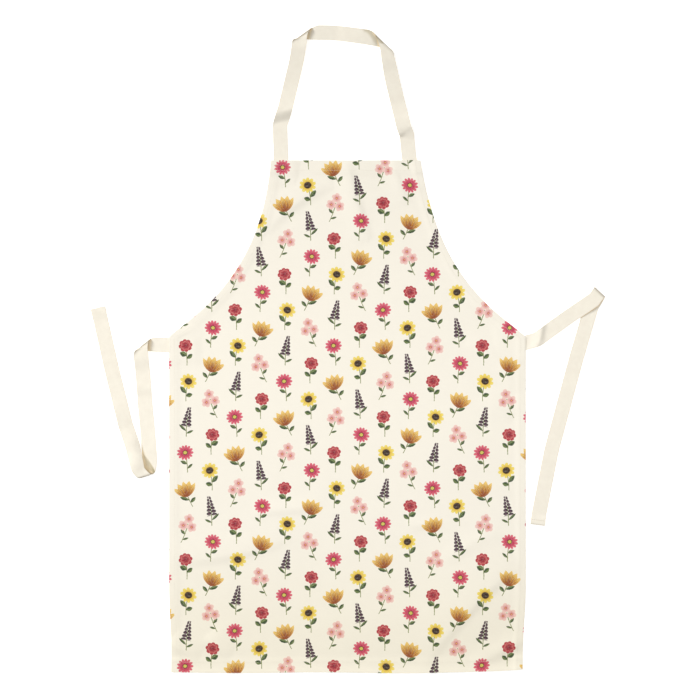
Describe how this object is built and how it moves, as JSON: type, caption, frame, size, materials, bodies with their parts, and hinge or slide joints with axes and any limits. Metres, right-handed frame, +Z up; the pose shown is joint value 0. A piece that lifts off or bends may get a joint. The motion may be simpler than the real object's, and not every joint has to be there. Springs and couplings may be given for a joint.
{
  "type": "bib apron",
  "caption": "Full-length bib apron of flower-printed cotton, laid flat, with hemmed edges, curved armholes, a tape neck loop and long tape waist ties.",
  "frame": {"origin": "middle of the outline of the apron as laid, on the surface it lies on", "axes": "+Y from the foot hem towards the bib and neck strap, +X to the right as seen from above, +Z up out of the printed face"},
  "size_m": [0.894, 1.126, 0.0084],
  "materials": {
    "printed_cotton": "matte plain weave with a scattered flower print",
    "cotton_tape": "matte woven tape"
  },
  "bodies": {
    "root": {"apron_body": "printed_cotton", "neck_strap": "cotton_tape", "tie_left": "cotton_tape", "tie_right": "cotton_tape"}
  },
  "joints": []
}
